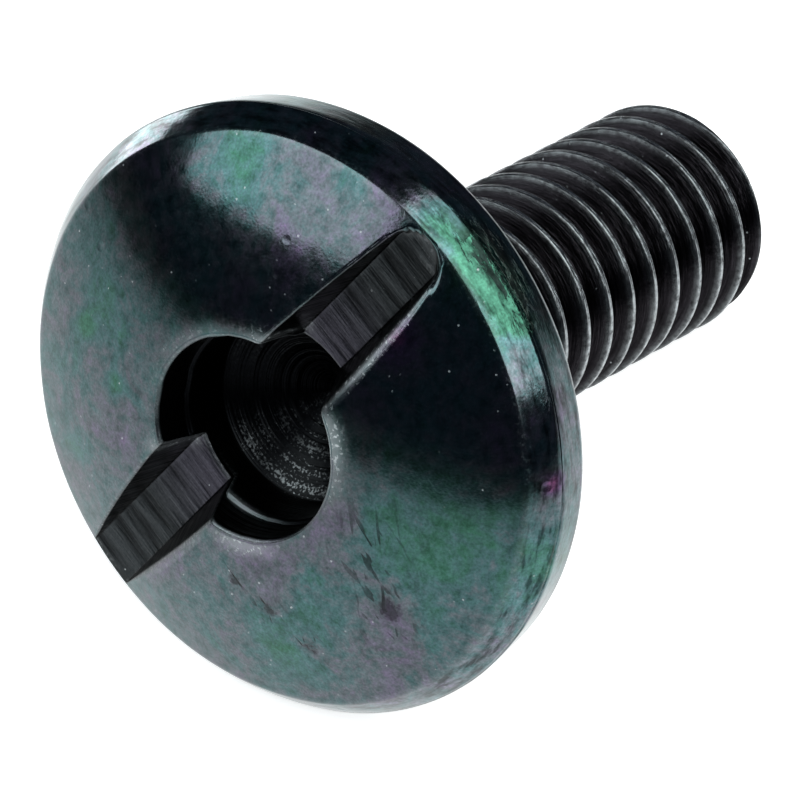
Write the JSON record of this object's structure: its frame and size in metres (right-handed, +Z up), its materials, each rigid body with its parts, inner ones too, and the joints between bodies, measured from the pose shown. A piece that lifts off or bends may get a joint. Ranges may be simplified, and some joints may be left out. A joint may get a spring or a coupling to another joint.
{
  "type": "machine screw",
  "caption": "Low domed screw with a wide head, a round recess crossed by an off-centre slot, and a straight threaded shank with a chamfered tip",
  "frame": {"origin": "on the floor, under the middle of the screw's length and width as it lies at rest", "axes": "+X along the floor from the head to the tip, +Z up, +Y across; the shank's axis leans 18.0 degrees down towards the tip"},
  "size_m": [0.0202, 0.0158, 0.0152],
  "materials": {
    "black_chromate": "glossy black chromate over plated steel, with green, teal and purple tints"
  },
  "bodies": {
    "root": {"screw": "black_chromate"}
  },
  "joints": []
}
